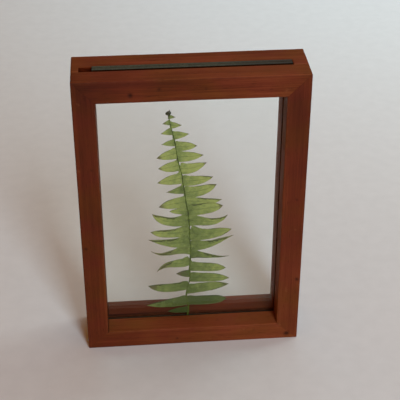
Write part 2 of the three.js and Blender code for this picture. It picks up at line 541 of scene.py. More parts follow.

# Tone of each stick, 0 dark to 1 light, partly the wood's own tone and partly painted light, which makes
# the front sticks brighter towards the right and the bottom: at its left or lower mitre, past that mitre,
# before the other mitre, and at its right or upper mitre
STICK_TONE_AND_LIGHT = {
    "front_top_rail": (0.2, 0.28, 0.6, 0.5), "front_bottom_rail": (0.44, 0.46, 0.92, 0.76),
    "front_left_stile": (0.44, 0.48, 0.22, 0.18), "front_right_stile": (0.76, 0.6, 0.32, 0.52),
    "back_top_rail": (0.45, 0.5, 0.35, 0.45), "back_bottom_rail": (-0.05, 0.15, 0.3, 0.3),
    "back_left_stile": (0.4, 0.4, 0.4, 0.4), "back_right_stile": (0.45, 0.45, 0.45, 0.45),
}
MITRE_FADE = 18 * MM
# How much lighter painted light makes the upper faces and the stiles' inner faces
PAINTED_FACE_LIGHT = 0.3
STILE_CONTRAST = 0.6

# Noises in the wood: features a metre along the grain and across it, detail, roughness and distortion
GRAIN = {
    "figure": (7, 95, 4, 0.55, 0.6), "streaks": (16, 900, 5, 0.6, 0.0), "fine": (45, 2600, 2, 0.5, 0.0),
    "blotch": (24, 40, 2, 0.5, 0.0), "pores": (170, 3400, 1, 0.5, 0.0),
}


def wood_grain(n, upright, shift):
    """The noises that run along the grain, by name."""
    noises = {}
    for name, (along, cross, detail, rough, distortion) in GRAIN.items():
        waves = (cross, cross, along) if upright else (along, cross, cross)
        noises[name] = n.noise(waves, detail, shift, rough, distortion)
    return noises


def wood_tone(n, node, upright, grain):
    """How light the wood is: the stick's tone from end to end, partly painted light, painted light on its
    upper faces and the stiles' inner faces, and the grain.
    """
    start_corner, start, end, end_corner = STICK_TONE_AND_LIGHT[node]
    axis, low, high = ("Z", 0, HEIGHT) if upright else ("X", -WIDTH / 2, WIDTH / 2)
    contrast = STILE_CONTRAST if upright else 1.0
    place = n.coordinate(axis)
    shares = [
        n.ramp(place, low, low + MITRE_FADE, start_corner - start, 0),
        n.ramp(place, high - MITRE_FADE, high, 0, end_corner - end),
        # Painted light on the upper faces and the stiles' inner faces
        n.maths("MULTIPLY", n.attribute("upper"), PAINTED_FACE_LIGHT),
        n.maths("MULTIPLY", n.attribute("reveal"), PAINTED_FACE_LIGHT),
        n.spread(grain["figure"], -0.17 * contrast, 0.17 * contrast),
        n.spread(grain["streaks"], -0.14 * contrast, 0.16 * contrast),
        n.spread(grain["blotch"], -0.1, 0.12),
        n.spread(grain["fine"], -0.06, 0.06),
    ]
    tone = n.ramp(place, low, high, start, end)
    for share in shares:
        tone = n.maths("ADD", tone, share)
    return tone


def age_wood(n, colour, shift):
    """Wear on the arrises, the glue line, open mitres, painted shade in the sill's inner corner and in the
    dents, and scuffs.
    """
    rub = n.ramp(n.noise((260, 260, 260), 3, shift), 0.42, 0.68)
    worn = n.maths("MULTIPLY", n.attribute("arris"), rub)
    scuffed = n.maths("MULTIPLY", n.attribute("scuff"), rub)
    colour = n.stain(colour, worn, 0.12, WOOD_BARE)
    colour = n.stain(colour, n.attribute("glue"), 0.3, WOOD_BARE)
    colour = n.stain(colour, n.attribute("joint"), 0.12, PORE_AND_SHADE_BROWN)
    # Painted shade in the sill's inner corner
    colour = n.stain(colour, n.attribute("corner_shade"), 0.85, PORE_AND_SHADE_BROWN)
    # Painted shade in the dents
    colour = n.stain(colour, n.attribute("dent_shade"), 0.75, PORE_AND_SHADE_BROWN)
    return n.stain(colour, scuffed, 0.55, WOOD_BARE)


def wood_material(node):
    n = Material(f"{node}_finish")
    seed = list(STICK_TONE_AND_LIGHT).index(node) * 1.37
    shift = (seed, seed * 0.7, seed * 1.3)
    upright = "stile" in node
    grain = wood_grain(n, upright, shift)
    pores = n.ramp(grain["pores"], 0.66, 0.74)
    tone = wood_tone(n, node, upright, grain)
    dark_to_mid = n.mix(n.ramp(tone, 0, 0.5), WOOD_DARK, WOOD_MID)
    colour = n.mix(n.ramp(tone, 0.5, 1), dark_to_mid, WOOD_LIGHT)
    olive = n.mix(1.0, colour, OLIVE_CAST, "MULTIPLY")
    rose = n.mix(1.0, colour, ROSE_CAST, "MULTIPLY")
    hue = n.noise((34, 55, 55), 2, shift)
    colour = n.mix(n.ramp(hue, 0.35, 0.65), olive, rose)
    colour = n.stain(colour, pores, 0.55, PORE_AND_SHADE_BROWN)
    colour = age_wood(n, colour, shift)
    sheen = n.spread(n.noise((60, 60, 60), 3, shift), 0.48, 0.6)
    height = n.maths("SUBTRACT", n.maths("MULTIPLY", grain["streaks"], 0.5), pores)
    n.surface({
        "Base Color": colour, "Roughness": n.maths("ADD", sheen, n.maths("MULTIPLY", pores, 0.2)),
        "Specular IOR Level": WOOD_SPECULAR, "Normal": n.bump(height, WOOD_RELIEF, 0.7),
    })
    return n.material


def slot_wood_material():
    """The slot's unfinished walls: a deeper red-brown at the open end as painted shade, bare under the
    panes.
    """
    n = Material("slot_wood")
    grain = n.spread(n.noise((300, 900, 900), 3))
    # Painted shade at the slot's open end
    open_end_shade = n.mix(grain, OPEN_END_SHADE_DARK, OPEN_END_SHADE_LIGHT)
    bare = n.mix(grain, UNDER_PANES_DARK, UNDER_PANES_LIGHT)
    under_panes = n.ramp(n.coordinate("X"), PANE_LOW.x - 0.5 * MM, PANE_LOW.x + 1.5 * MM)
    colour = n.mix(under_panes, open_end_shade, bare)
    n.surface({"Base Color": colour, "Roughness": 0.7, "Specular IOR Level": 0.0})
    return n.material


# -------------------- glass

GLASS_IOR = 1.52
GLASS_SPECULAR_TINT = (0.5, 0.46, 0.38, 1.0)
GLASS_ABSORPTION = {"Color": (0.5, 0.8, 0.66, 1.0), "Density": 14.0}
LET_THROUGH = (0.92, 0.92, 0.9, 1.0)
EDGE_DARK = linear(50, 55, 42)
EDGE_LIGHT = linear(75, 78, 60)
EDGE_STREAK = linear(42, 43, 30)
# Painted shade that darkens the edge towards the right
EDGE_SHADE_END = linear(40, 32, 24)
EDGE_SHADE_FROM = 10 * MM
EDGE_RELIEF = 0.05 * MM
PANE_BEVEL = 0.25 * MM
FACING = 0.9


def glass_material():
    """Clear glass that lets a lamp's light, and light that has bounced before, go straight through."""
    n = Material("clear_glass")
    n.surface({
        "Base Color": (1.0, 1.0, 1.0, 1.0), "Roughness": 0.0, "IOR": GLASS_IOR,
        "Specular Tint": GLASS_SPECULAR_TINT, "Transmission Weight": 1.0,
    })
    absorbed = n.add("ShaderNodeVolumeAbsorption", GLASS_ABSORPTION).outputs[0]
    n.feed(n.output.inputs["Volume"], absorbed)
    straight = n.add("ShaderNodeBsdfTransparent", {"Color": LET_THROUGH}).outputs[0]
    seen = n.mix_shaders(n.bounced(), n.shader.outputs[0], straight)
    from_lamp = n.add("ShaderNodeLightPath").outputs["Is Shadow Ray"]
    n.feed(n.output.inputs["Surface"], n.mix_shaders(from_lamp, seen, straight))
    return n.material


def ground_edge_material():
    """The sawn and ground edge of a pane: dull grey-green, dusty in its pits, darker to the right as painted
    shade.
    """
    n = Material("ground_glass_edge")
    pits = n.noise((900, 900, 900), 3)
    streaks = n.noise((120, 900, 900), 2)
    colour = n.mix(n.ramp(pits, 0.35, 0.65), EDGE_DARK, EDGE_LIGHT)
    colour = n.mix(n.ramp(streaks, 0.45, 0.7, 0, 0.5), colour, EDGE_STREAK)
    # Painted shade, growing towards the right end of the edge
    right_shade = n.ramp(n.coordinate("X"), EDGE_SHADE_FROM, PANE_HIGH.x, 0, 0.85)
    n.surface({
        "Base Color": n.mix(right_shade, colour, EDGE_SHADE_END), "Roughness": 0.55,
        "Specular IOR Level": 0.3, "Normal": n.bump(pits, EDGE_RELIEF, 0.5),
    })
    return n.material


def pane_mesh(name, node):
    """A pane with a narrow bevel round each of its two faces and an edge between them."""
    low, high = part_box(node)
    rings = [(low.y, PANE_BEVEL), (low.y + PANE_BEVEL, 0), (high.y - PANE_BEVEL, 0), (high.y, PANE_BEVEL)]
    points = []
    for y, inset in rings:
        left, right, foot, top = low.x + inset, high.x - inset, low.z + inset, high.z - inset
        points += [(left, y, foot), (right, y, foot), (right, y, top), (left, y, top)]
    return mesh_object(name, points, flipped(tube_faces(len(rings), 4)), smooth=False)


def build_panes():
    clear, ground = glass_material(), ground_edge_material()
    for node in ("glass_front", "glass_back"):
        pane = pane_mesh(f"pane_{node}", node)
        pane.data.materials.append(clear)
        pane.data.materials.append(ground)
        for polygon in pane.data.polygons:
            polygon.material_index = int(abs(polygon.normal.y) < FACING)
        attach(pane, "root")
        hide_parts(node)


# -------------------- frond

# The drawing of the frond is stretched and shifted in its plane: x, z
FROND_STRETCH = (0.992, 0.99)
FROND_SHIFT = (-0.3 * MM, 3.1 * MM)

# The line of the stem, from its foot to its tip: x, z in millimetres, as in the CAD source
STEM_LINE = [
    (-3.1, 8.9), (-2, 18), (-3.6, 28), (-2.6, 36), (-0.8, 44), (-1.1, 52), (-0.5, 60),
    (-0.2, 70), (-0.9, 80), (-1.1, 90), (-1.8, 100), (-3.2, 110), (-4.1, 118), (-5.1, 125),
    (-6.2, 133), (-8, 141), (-9.3, 149), (-10.3, 157), (-12.1, 165.5), (-13.3, 172), (-14.4, 179),
]

# Leaflets: height on the stem, tip x and z, width, bows at one and two thirds of the length and
# fullness, as in the CAD source but for a few whose edges rolled up, then the flare at the root, the
# tone from dark to yellow-green, below 0 darkened by painted shade, the length of the dried tip in
# millimetres, and the layer it lies in
RIGHT_LEAFLETS = [
    (177, -9.7, 176.5, 3.5, 0, 0, 1.4, 0, 0.2, 2.2, 1),
    (170.5, -5.6, 170.4, 5.8, 0, 0, 1.5, 0, 0.45, 1.6, 1),
    (162.7, -0.7, 163.4, 6.4, 0, 0, 2, 0, 0.55, 1.4, 1),
    (154.3, 4.5, 154.2, 7.6, 0, 0, 3, 0, 0.6, 1.6, -1),
    (146.3, 8.9, 146.8, 8, -0.5, -0.5, 3, 0.05, 0.6, 2, 1),
    (137, 10.9, 140.8, 8.5, -2.7, -1.8, 3, 0.05, 0.7, 2.2, -1),
    (127.2, 15.4, 129.2, 7.8, -1.7, -1.7, 3.5, 0.08, 0.55, 2.4, 1),
    (117.8, 17.8, 123.1, 8.8, -2.6, -2.6, 4.5, 0.1, 0.5, 2.4, -1),
    (110.8, 21.6, 110.5, 6.6, -1.5, -2.5, 4, 0.25, 0.5, 1.6, 1),
    (102, 22.4, 105.5, 9.4, 0.3, -0.7, 6, 0.05, 0.42, 2.6, -1),
    (94, 25.9, 97.4, 6.5, -0.5, -8.5, 4, 0.5, 0.35, 2.6, 1),
    (83.8, 28.8, 85.3, 8.8, -4.5, -2.2, 5, 0.4, 0.3, 1.2, -1),
    (74.3, 30.3, 79.8, 8, -7, -2, 1.7, 0.3, 0.2, 5, 1),
    (65.4, 27.2, 62.1, 8, 0, -3, 0.85, 0.05, 0.1, 8, -1),
    (54.1, 25.2, 51.4, 8, 0, 0, 6, 0, 0.15, 1.4, 1),
    (44.4, 27.8, 42.1, 8.3, 0.3, 0.3, 5, 0, 0.1, 1.8, -1),
    (33.6, 27.5, 36.6, 8.7, -0.3, 0.5, 4, 0, 0.1, 4, 1),
    (23.3, 26, 23.7, 8.4, -0.5, -1, 8, 0, -0.3, 1.2, -1),
]
LEFT_LEAFLETS = [
    (172.8, -18.5, 171.8, 4.5, 0, 0, 1.6, 0, 0.25, 2.2, -1),
    (166, -19.7, 164.3, 6, 0, 0, 1.6, 0, 0.4, 1.4, -1),
    (157.3, -19.4, 156.1, 5.8, 0, 0, 1.6, 0, 0.4, 1.4, 1),
    (149, -22.8, 145.6, 8.4, 0, 0, 2.5, 0, 0.75, 3.4, -1),
    (139.4, -21.9, 137.3, 8.4, -0.5, -0.5, 3, 0, 0.65, 2.4, 1),
    (129.3, -22.8, 126, 8.6, 0, 0, 2.7, 0, 0.7, 2, -1),
    (120, -16.8, 118.1, 7.4, -0.3, -0.3, 1.4, 0, 0.2, 5, 1),
    (109.3, -22.2, 106.2, 9, 1.2, 0.6, 3.5, 0.08, 0.55, 4.6, -1),
    (102, -14.8, 102.2, 5, 0, 0, 4, 0.8, 0.3, 0.8, 1),
    (95, -26.8, 100.6, 7.4, -4, -7, 6, 0.4, 0.35, 2.6, -1),
    (86, -28.4, 85.5, 6.8, -3, -3, 7, 0.5, 0.45, 2, 1),
    (77, -29.7, 78.9, 8, -4, -2.5, 2.5, 0.4, 0.3, 6, -1),
    (68.3, -28.4, 68.9, 7.3, 2.7, -7.3, 1.15, 0.1, 0.35, 16, 1),
    (59.8, -24.6, 50.7, 7.8, -2.5, 7, 2.3, 0, 0.3, 10, -1),
    (47.7, -10.9, 48, 6.4, 0, 0, 2.5, 0, -0.15, 7, 1),
    (37.3, -31.2, 38.3, 7.8, -2, -4, 6, 0, 0.05, 6.5, -1),
    (23.5, -33, 20.4, 8.8, -0.5, -1.5, 2.5, 0, -0.12, 2, 1),
    (15, -17.5, 13.9, 5.4, 0, 0, 3, 0, -0.38, 1, -1),
]

# Edges that rolled over while the leaf dried: side and number of the leaflet from the top, upper (1)
# or lower (-1) edge, where the roll starts and ends along it, and its depth in millimetres
FOLDS = [
    ("right", 6, 1, 0.65, 1, 0.9), ("right", 7, 1, 0.75, 1, 0.9), ("right", 8, 1, 0.3, 1, 0.8),
    ("right", 9, 1, 0.12, 0.62, 1.05), ("right", 9, 1, 0.86, 1, 1.7), ("right", 10, 1, 0.5, 1, 1.15),
    ("right", 10, -1, 0.35, 0.6, 0.65), ("right", 11, -1, 0.7, 0.95, 0.65), ("right", 12, 1, 0.4, 0.9, 1.7),
    ("right", 13, 1, 0.3, 1, 1.6), ("right", 13, -1, 0.05, 0.5, 0.65), ("right", 14, 1, 0.3, 0.6, 0.5),
    ("right", 16, 1, 0.7, 1, 1.3), ("right", 16, -1, 0.55, 0.85, 0.65),
    ("left", 7, 1, 0.5, 0.9, 0.5), ("left", 9, 1, 0.28, 1, 1.25), ("left", 10, 1, 0.28, 0.9, 1.3),
    ("left", 11, 1, 0.3, 0.64, 1.6), ("left", 11, 1, 0.55, 1, 1.6), ("left", 12, 1, 0.42, 1, 1.7),
    ("left", 12, -1, 0.5, 1, 1.05), ("left", 13, 1, 0.5, 1, 2.2), ("left", 14, 1, 0.2, 0.9, 0.65),
    ("left", 15, 1, 0.1, 0.42, 1.05), ("left", 15, 1, 0.62, 1, 1.3), ("left", 16, 1, 0.45, 0.9, 0.8),
]

# Leaflet outlines, in millimetres or in shares of the width or length
ROOT_OVERLAP = 0.5
LEAST_WIDTH = 0.35
FLARE_LENGTH = 0.3
LOBE_HEIGHT = 0.06
LOBE_PLACE = 0.1
LOBE_LENGTH = 0.07
EDGE_WANDER = 0.22
EDGE_WANDER_LENGTH = 3.5
TOOTH_SIZE = 0.16
TEETH_PER_MM = 0.8
TOOTH_PHASE = 0.37
CALM_TIP = 1 / 8

# Leaflet surfaces: steps of the mesh, and depths in metres
ALONG_STEPS = 34
ACROSS_STEPS = 12
BLADE_THICKNESS = 0.1 * MM
LAYER_STEP = 0.05 * MM
LIFT_LENGTH = 1 / 6
CREASE_DEPTH = 0.05 * MM
CREASE_WIDTH = 0.1
RIPPLE = 0.025 * MM
RIPPLE_LENGTH = 4 * MM
MOTTLE = 0.65
MOTTLE_LENGTH = 2.5 * MM
TIP_DRYNESS = 1.2

# Rolled edges
FOLD_PITCH = 0.5
FOLD_LEAST_STEPS = 6
FOLD_LAST = 0.995
FOLD_LEAST_HALF = 0.2
FOLD_SHARES = (0.05, 1.6)
FOLD_STEPS_ACROSS = 4
FOLD_TAPER = 0.08
FOLD_RAGGED = 0.75
FOLD_RAGGED_LENGTH = 1.3
FOLD_OVERHANG = 1.02
FOLD_LIFT = 0.09 * MM
FOLD_SWELL = 0.03 * MM
FOLD_THICKNESS = 0.08 * MM

# Seeds of the noises in the frond, to which a leaflet's number is added
RIPPLE_SEED = 1
MOTTLE_SEED = 40
EDGE_SEED = 50
FOLD_SEED = 70


def spline_point(points, t):
    """A point on a smooth curve through the points, t from 0 to 1."""
    position = t * (len(points) - 1)
    i = min(int(position), len(points) - 2)
    w = position - i
    p = [np.array(points[min(max(i + k, 0), len(points) - 1)], float) for k in (-1, 0, 1, 2)]
    a = 2 * p[1]
    b = p[2] - p[0]
    c = 2 * p[0] - 5 * p[1] + 4 * p[2] - p[3]
    d = 3 * p[1] - p[0] - 3 * p[2] + p[3]
    return (a + b * w + c * w * w + d * w ** 3) / 2


def stem_at(height):
    """The point on the stem at a height, found by halving."""
    low, high = 0.0, 1.0
    for _ in range(30):
        middle = (low + high) / 2
        if spline_point(STEM_LINE, middle)[1] < height:
            low = middle
        else:
            high = middle
    return spline_point(STEM_LINE, low)


def bezier(controls, t):
    """Points and directions along a cubic curve."""
    r, n, f, e = controls
    t = t[:, None]
    here = r * (1 - t) ** 3 + 3 * n * t * (1 - t) ** 2 + 3 * f * t ** 2 * (1 - t) + e * t ** 3
    slope = (n - r) * (1 - t) ** 2 + 2 * (f - n) * t * (1 - t) + (e - f) * t ** 2
    return here, unit(slope)


def in_plane(x, z, y=FROND_Y):
    """Points between the panes, from x and z in millimetres."""
    return np.stack([x * MM, np.full(np.shape(x), y), z * MM], -1)


class Surface:
    """Collects closed pieces of mesh, with the values that the leaf finish reads."""

    FIELDS = ("along", "across", "tone", "brown", "edge", "stem")

    def __init__(self):
        self.points, self.faces = [], []
        self.fields = {name: [] for name in self.FIELDS}
        self.count = 0

    def add(self, points, faces, **fields):
        self.points.append(points)
        self.faces += [tuple(i + self.count for i in face) for face in faces]
        for name in self.FIELDS:
            self.fields[name].append(np.broadcast_to(fields.get(name, 0.0), len(points)))
        self.count += len(points)

    def build(self, name):
        x, y, z = np.concatenate(self.points).T
        x = x * FROND_STRETCH[0] + FROND_SHIFT[0]
        z = z * FROND_STRETCH[1] + FROND_SHIFT[1]
        obj = mesh_object(name, np.stack([x, y, z], 1), self.faces)
        for field, values in self.fields.items():
            point_attribute(obj, field, np.concatenate(values))
        return obj


def shell_faces(rows, columns):
    """Faces of a thin closed sheet: a front grid, a back grid after it, and the rim between them."""
    back = rows * columns
    faces = []
    for i in range(rows - 1):
        for j in range(columns - 1):
            a = i * columns + j
            quad = (a, a + 1, a + columns + 1, a + columns)
            faces.append(quad)
            faces.append(tuple(k + back for k in reversed(quad)))
    rim = list(range(columns))
    rim += [i * columns + columns - 1 for i in range(1, rows)]
    rim += [(rows - 1) * columns + j for j in range(columns - 2, -1, -1)]
    rim += [i * columns for i in range(rows - 2, 0, -1)]
    for k, a in enumerate(rim):
        b = rim[(k + 1) % len(rim)]
        faces.append((b, a, a + back, b + back))
    return faces


class Leaflet:
    """One leaflet's middle line and half widths, in millimetres in the frond's plane."""

    def __init__(self, index, row):
        height, tip_x, tip_z, width, bow_near, bow_far, fullness, flare = row[:8]
        self.tone, self.dry, self.layer = row[8:]
        self.index = index
        root = stem_at(height)
        tip = np.array((tip_x, tip_z))
        root = root - ROOT_OVERLAP * unit(tip - root)
        near = root + (tip - root) / 3 + (0, bow_near)
        far = root + (tip - root) * 2 / 3 + (0, bow_far)
        self.rightward = tip_x > root[0]
        self.length = np.linalg.norm(tip - root)
        self.t = np.linspace(0, 1, ALONG_STEPS + 1)
        self.line, slope = bezier((root, near, far, tip), self.t)
        self.upward = np.stack([-slope[:, 1], slope[:, 0]], 1) * (1 if self.rightward else -1)
        reach = np.maximum(width * (1 - self.t ** fullness), LEAST_WIDTH) / 2
        reach = reach * (1 + flare * fade(self.t, FLARE_LENGTH))
        lobe = LOBE_HEIGHT * width * fade(self.t - LOBE_PLACE, LOBE_LENGTH)
        self.upper = reach + self.wander(1) + lobe
        self.lower = reach + self.wander(2)

    def wander(self, side):
        """A leaf edge's slow irregularity and its fine teeth, which both fade out at the tip."""
        along = np.stack([self.t * self.length, self.t * 0, self.t * 0 + side], 1)
        slow = EDGE_WANDER * smooth_noise(along, EDGE_WANDER_LENGTH, self.index + side * EDGE_SEED)
        phase = self.t * self.length * TEETH_PER_MM + self.index * TOOTH_PHASE
        teeth = TOOTH_SIZE * np.abs((phase % 1.0) - 0.5)
        return (slow - teeth) * np.clip((1 - self.t) / CALM_TIP, 0, 1)

    def place(self, grid_t, grid_s):
        """Points on the leaflet: along it from 0 to 1, and across it from -1 (lower) to 1 (upper)."""
        line = np.stack([np.interp(grid_t, self.t, self.line[:, k]) for k in (0, 1)], -1)
        up = np.stack([np.interp(grid_t, self.t, self.upward[:, k]) for k in (0, 1)], -1)
        upper, lower = np.interp(grid_t, self.t, self.upper), np.interp(grid_t, self.t, self.lower)
        flat = line + up * (np.where(grid_s > 0, upper, lower) * grid_s)[..., None]
        return in_plane(flat[..., 0], flat[..., 1], 0.0).reshape(-1, 3)

    def middle_y(self, grid_t, grid_s, place):
        """The middle of the sheet's thickness: its layer, the crease at the midrib and slow ripples."""
        lift = LAYER_STEP * self.layer * np.clip(grid_t / LIFT_LENGTH, 0, 1).ravel()
        crease = CREASE_DEPTH * fade(grid_s, CREASE_WIDTH).ravel()
        ripple = RIPPLE * smooth_noise(place, RIPPLE_LENGTH, self.index + RIPPLE_SEED)
        return FROND_Y + lift + crease + ripple

    def dryness(self, grid_t, place):
        """1 at the dried tip, fading out unevenly over its length."""
        from_tip = (1 - grid_t).ravel() * self.length
        mottle = smooth_noise(place, MOTTLE_LENGTH, self.index + MOTTLE_SEED)
        return np.clip(TIP_DRYNESS - from_tip / self.dry + MOTTLE * mottle, 0, 1)


def add_sheet(surface, leaflet, grid_t, grid_s, middle, place, thickness, **fields):
    """A thin closed sheet through the given points of a leaflet, thinner at its very edge."""
    half = thickness / 2 * np.clip(1.6 - 1.3 * np.abs(grid_s).ravel() ** 8, 0.3, 1)
    front, behind = place.copy(), place.copy()
    front[:, 1] = middle - half
    behind[:, 1] = middle + half
    faces = shell_faces(*grid_t.shape)
    if leaflet.rightward:
        faces = flipped(faces)
    fields.update(along=grid_t.ravel(), across=grid_s.ravel())
    twice = {name: np.tile(values, 2) for name, values in fields.items()}
    surface.add(np.concatenate([front, behind]), faces, tone=leaflet.tone, **twice)


def add_blade(surface, leaflet):
    grid_t, grid_s = np.meshgrid(leaflet.t, np.linspace(-1, 1, ACROSS_STEPS + 1), indexing="ij")
    place = leaflet.place(grid_t, grid_s)
    middle = leaflet.middle_y(grid_t, grid_s, place)
    brown = leaflet.dryness(grid_t, place)
    add_sheet(surface, leaflet, grid_t, grid_s, middle, place, BLADE_THICKNESS, brown=brown)


def fold_grid(leaflet, edge, start, end, depth):
    """Places along a leaflet, and across it, of a rolled edge's ragged strip."""
    steps = max(FOLD_LEAST_STEPS, round((end - start) * leaflet.length / FOLD_PITCH))
    t = np.linspace(start, min(end, FOLD_LAST), steps + 1)
    half = np.interp(t, leaflet.t, leaflet.upper if edge > 0 else leaflet.lower)
    taper = np.clip(np.minimum(t - start, end - t) / FOLD_TAPER, 0.15, 1)
    along = np.stack([t * leaflet.length, t * 0, t * 0 + edge * 5], 1)
    ragged = 1 + FOLD_RAGGED * smooth_noise(along, FOLD_RAGGED_LENGTH, leaflet.index + FOLD_SEED)
    share = np.clip(depth * taper * ragged / np.maximum(half, FOLD_LEAST_HALF), *FOLD_SHARES)
    grid_t, grid_k = np.meshgrid(t, np.linspace(0, 1, FOLD_STEPS_ACROSS + 1), indexing="ij")
    return grid_t, edge * (FOLD_OVERHANG - share[:, None] * grid_k), grid_k.ravel()


def add_fold(surface, leaflet, edge, start, end, depth):
    """The strip where an edge rolled over to the front, darker towards its inner side as the roll's painted
    shadow.
    """
    grid_t, grid_s, inward = fold_grid(leaflet, edge, start, end, depth)
    place = leaflet.place(grid_t, grid_s)
    swell = FOLD_SWELL * np.sin(inward * math.pi)
    middle = leaflet.middle_y(grid_t, grid_s, place) - FOLD_LIFT - swell
    # Painted shadow of the roll, strongest on the strip's inner side
    shade = 0.12 + 0.88 * np.clip((inward - 0.2) / 0.45, 0, 1)
    brown = 0.5 * leaflet.dryness(grid_t, place)
    add_sheet(surface, leaflet, grid_t, grid_s, middle, place, FOLD_THICKNESS, edge=shade, brown=brown)


# -------------------- stem and bud

TUBE_SIDES = 10
STEM_STEPS = 150
KNOT_STEPS = 12
COIL_STEPS = 40

# Half widths and half depths of the stem at its foot and tip
STEM_WIDTHS = (0.62 * MM, 0.28 * MM)
STEM_DEPTHS = (0.2 * MM, 0.14 * MM)
STEM_SWAY = 0.3 * MM
STEM_SWAY_LENGTH = 5 * MM
STEM_SWAY_SEED = 12
STEM_KNOBS = 0.3
STEM_KNOB_LENGTH = 4 * MM
STEM_KNOB_SEED = 9

# The knot and the coil over it, in millimetres
KNOT_WIDE, KNOT_DEEP = 1.25, 0.13
COIL_WIDE, COIL_DEEP = 0.55, 0.16
KNOT_HEIGHT = 2.4
COIL_RADIUS = 1.6
COIL_HEART = 0.25
COIL_TURNS = 1.6

# The spike beside the coil: x and z from the stem's end, half width and half depth, in millimetres
SPIKE = [(0.3, 1.5, 0.35, 0.1), (0.7, 2.3, 0.25, 0.08), (1.0, 3.2, 0.1, 0.05)]


def add_tube(surface, centres, widths, depths, **fields):
    """A closed flattened tube in the frond's plane, with half sizes across and deep at each centre."""
    slope = unit(np.gradient(centres, axis=0))
    side = np.stack([slope[:, 2], np.zeros(len(slope)), -slope[:, 0]], 1)
    angle = 2 * math.pi * np.arange(TUBE_SIDES) / TUBE_SIDES
    wide = np.multiply.outer(widths, np.cos(angle))[..., None] * side[:, None]
    deep = np.multiply.outer(depths, np.sin(angle))[..., None] * FORWARD
    points = (centres[:, None] + wide + deep).reshape(-1, 3)
    rings = len(centres)
    fields = {name: np.repeat(np.broadcast_to(value, rings), TUBE_SIDES) for name, value in fields.items()}
    across = np.tile(np.cos(angle), rings)
    surface.add(points, tube_faces(rings, TUBE_SIDES), across=across, stem=1.0, **fields)


def add_stem(surface):
    t = np.linspace(0, 1, STEM_STEPS + 1)
    x, z = np.array([spline_point(STEM_LINE, value) for value in t]).T
    centres = in_plane(x, z)
    centres[:, 0] += STEM_SWAY * smooth_noise(centres, STEM_SWAY_LENGTH, STEM_SWAY_SEED)
    knobs = 1 + STEM_KNOBS * smooth_noise(centres, STEM_KNOB_LENGTH, STEM_KNOB_SEED)
    widths, depths = np.interp(t, (0, 1), STEM_WIDTHS) * knobs, np.interp(t, (0, 1), STEM_DEPTHS)
    add_tube(surface, centres, widths, depths, along=t)


def add_knot(surface, x, z):
    """The folded leaflets under the coil."""
    rise = np.linspace(0, 1, KNOT_STEPS)
    centres = in_plane(np.full(KNOT_STEPS, x - 0.1), z - 0.9 + KNOT_HEIGHT * rise)
    bulge = np.sin(np.clip(rise, 0.03, 0.97) * math.pi) ** 0.6
    widths, depths = KNOT_WIDE * MM * bulge, KNOT_DEEP * MM * bulge
    add_tube(surface, centres, widths, depths, brown=0.9, along=rise)


def add_coil(surface, x, z):
    """The frond's unopened tip, a small dark coil."""
    turn = np.linspace(0, 1, COIL_STEPS)
    angle = (COIL_TURNS * turn - 0.25) * 2 * math.pi
    uneven = 1 + 0.25 * np.sin(angle * 2.3)
    radius = COIL_RADIUS * (1 - turn) * uneven + COIL_HEART
    ahead_of_knot = FROND_Y - 0.04 * MM
    centres = in_plane(x - 0.3 + radius * np.cos(angle), z + 0.5 + radius * np.sin(angle), ahead_of_knot)
    widths = COIL_WIDE * MM * (1 - 0.5 * turn)
    depths = np.full(COIL_STEPS, COIL_DEEP * MM)
    add_tube(surface, centres, widths, depths, brown=0.8, along=turn * 0.2)


def add_spike(surface, x, z):
    over, up, wide, deep = np.array(SPIKE).T
    add_tube(surface, in_plane(x + over, z + up), wide * MM, deep * MM, brown=0.8)


# -------------------- leaf finish

LEAF_GREEN = linear(98, 115, 55)
LEAF_RIPE = linear(142, 157, 84)
LEAF_YELLOW = linear(184, 192, 107)
LEAF_SPECK = linear(85, 101, 50)
LEAF_PAINTED_SHADE = linear(52, 67, 34)
# Painted shade on the low leaflets
LEAF_VEIN = linear(69, 84, 36)
LEAF_MIDRIB = linear(76, 90, 39)
LEAF_PALE_MARGIN = linear(163, 172, 105)
LEAF_DARK_MARGIN = linear(51, 56, 26)
# Painted shadow under the rolled edges
ROLL_SHADOW_GREEN = linear(38, 43, 15)
DRY_DARK = linear(78, 72, 43)
DRY_LIGHT = linear(116, 106, 78)
STALK_DARK = linear(44, 60, 3)
STALK_LIGHT = linear(92, 113, 21)
STALK_FOOT = linear(89, 104, 43)
BUD_BROWN = linear(36, 32, 19)
SIDE_VEINS = 26.0
VEIN_SLANT = 3.0
LEAF_RELIEF = 0.04 * MM


def leaf_green(n, along, blotch, fine):
    """The blade's green, riper towards the tips and by each leaflet's own tone, and darkened by painted
    shade where that tone is below 0.
    """
    tone = n.attribute("tone")
    ripe = n.maths("ADD", n.maths("MULTIPLY", along, 0.75), n.spread(blotch, -0.28, 0.22))
    ripe = n.maths("ADD", ripe, n.maths("SUBTRACT", tone, 0.1))
    green = n.mix(n.ramp(ripe, 0, 0.5), LEAF_GREEN, LEAF_RIPE)
    green = n.mix(n.ramp(ripe, 0.5, 1), green, LEAF_YELLOW)
    green = n.mix(n.ramp(fine, 0.35, 0.65, 0.0, 0.3), green, LEAF_SPECK)
    # Painted shade where a leaflet's tone is below 0
    return n.mix(n.ramp(tone, -0.6, 0, 1, 0), green, LEAF_PAINTED_SHADE)


def leaf_margins(n, green, along, across, away):
    """A pale lower margin, and a dark upper one and tip."""
    lower = n.ramp(across, -1.0, -0.75, 1.0, 0.0)
    upper = n.maths("MULTIPLY", n.ramp(across, 0.8, 0.97), n.ramp(along, 0.25, 0.6))
    tip = n.maths("MULTIPLY", n.ramp(away, 0.6, 0.95), n.ramp(along, 0.82, 0.95))
    green = n.stain(green, lower, 0.35, LEAF_PALE_MARGIN)
    return n.stain(green, n.maths("MAXIMUM", upper, tip), 0.75, LEAF_DARK_MARGIN)


